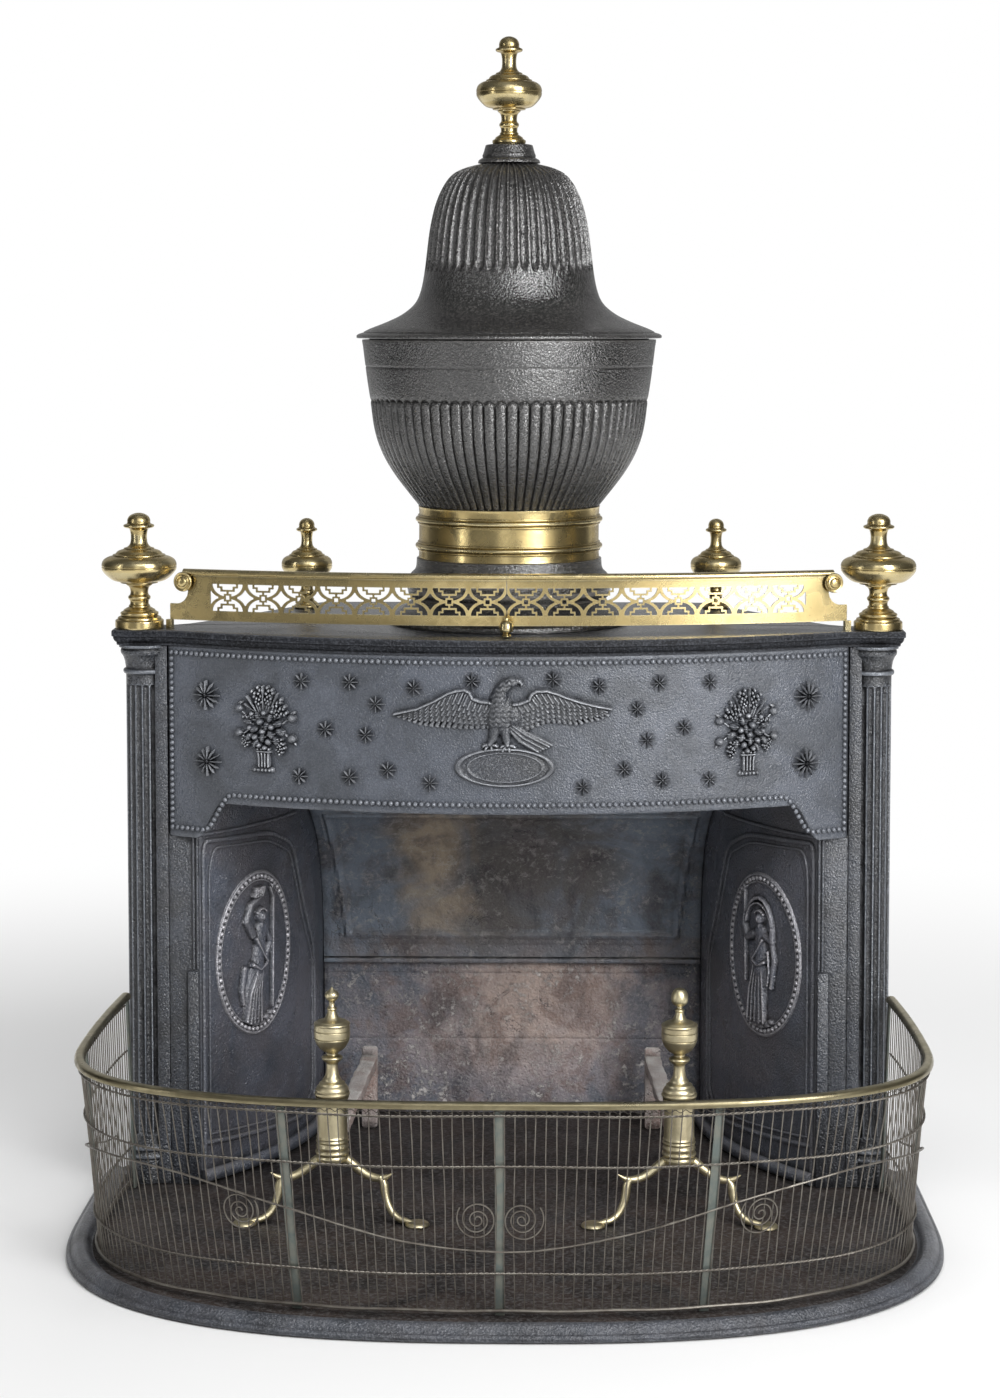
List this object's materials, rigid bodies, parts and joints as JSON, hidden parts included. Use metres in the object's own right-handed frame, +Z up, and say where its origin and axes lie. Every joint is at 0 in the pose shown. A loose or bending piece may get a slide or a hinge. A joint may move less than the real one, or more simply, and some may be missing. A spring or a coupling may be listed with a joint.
{
  "type": "open front hearth stove",
  "caption": "Free-standing open cast iron hearth stove with fluted columns, bowed frieze, brass gallery, lift-off urn lid, sliding damper, andirons and wire fender.",
  "frame": {"origin": "on the floor, at the centre of the bounding box", "axes": "+Z up, -Y is the open front, +X to the right as seen from the front"},
  "size_m": [1.082, 0.9758, 1.51],
  "materials": {
    "plate_iron": "dark blue-grey, fine cast grain, rubbed with stove black",
    "frieze_iron": "blue-grey cast relief with worn edges",
    "urn_iron": "brown-black satin",
    "hearth_iron": "charcoal, dusty",
    "fireback_iron": "burnt, sooty and ash stained",
    "bar_iron": "burnt wrought bar",
    "bright_brass": "polished, aged",
    "dull_brass": "tarnished satin",
    "strap_brass": "green-grey patina",
    "wire": "tarnished drawn wire",
    "bolt_steel": "dark iron"
  },
  "bodies": {
    "stove": {"left_column": "plate_iron", "right_column": "plate_iron", "top_plate": "plate_iron", "left_side_plate": "plate_iron", "right_side_plate": "plate_iron", "rear_plate": "plate_iron", "flue_collar": "plate_iron", "frieze_plate": "frieze_iron", "urn_foot": "urn_iron", "urn_bowl": "urn_iron", "hearth_plate": "hearth_iron", "lower_fireback": "fireback_iron", "upper_fireback": "fireback_iron", "urn_collar": "bright_brass", "left_gallery_panel": "bright_brass", "right_gallery_panel": "bright_brass", "left_gallery_rail": "bright_brass", "right_gallery_rail": "bright_brass", "gallery_splice": "bright_brass", "gallery_roundels": "bright_brass", "gallery_feet": "bright_brass", "left_finial_plinth": "bright_brass", "right_finial_plinth": "bright_brass", "left_front_finial": "bright_brass", "right_front_finial": "bright_brass", "left_rear_finial": "bright_brass", "right_rear_finial": "bright_brass", "flue_bolts": "bolt_steel", "base_bolts": "bolt_steel", "frieze_bolts": "bolt_steel", "finial_studs": "bolt_steel"},
    "urn_lid": {"urn_lid": "urn_iron", "urn_cap": "urn_iron", "urn_finial": "bright_brass", "lid_stud": "bolt_steel"},
    "damper": {"damper_disc": "urn_iron", "damper_rod": "bolt_steel", "damper_knob": "bright_brass"},
    "left_andiron": {"left_log_bar": "bar_iron", "left_andiron_plinth": "dull_brass", "left_andiron_urn": "dull_brass", "left_andiron_legs": "dull_brass"},
    "right_andiron": {"right_log_bar": "bar_iron", "right_andiron_plinth": "dull_brass", "right_andiron_urn": "dull_brass", "right_andiron_legs": "dull_brass"},
    "fender": {"fender_rail": "dull_brass", "fender_foot_hoop": "wire", "fender_uprights": "strap_brass", "fender_wires": "wire", "fender_twisted_wires": "wire", "fender_swag": "wire", "fender_spirals": "wire"}
  },
  "joints": [
    {"name": "lid_lift", "type": "slide", "parent": "stove", "child": "urn_lid", "axis": [0, 0, 1], "range_m": [0, 0.25]},
    {"name": "damper_slide", "type": "slide", "parent": "stove", "child": "damper", "axis": [0, -1, 0], "range_m": [0, 0.08]},
    {"name": "left_andiron_lift", "type": "slide", "parent": "stove", "child": "left_andiron", "axis": [0, 0, 1], "range_m": [0, 0.265]},
    {"name": "right_andiron_lift", "type": "slide", "parent": "stove", "child": "right_andiron", "axis": [0, 0, 1], "range_m": [0, 0.265]},
    {"name": "fender_lift", "type": "slide", "parent": "stove", "child": "fender", "axis": [0, 0, 1], "range_m": [0, 0.25]}
  ]
}
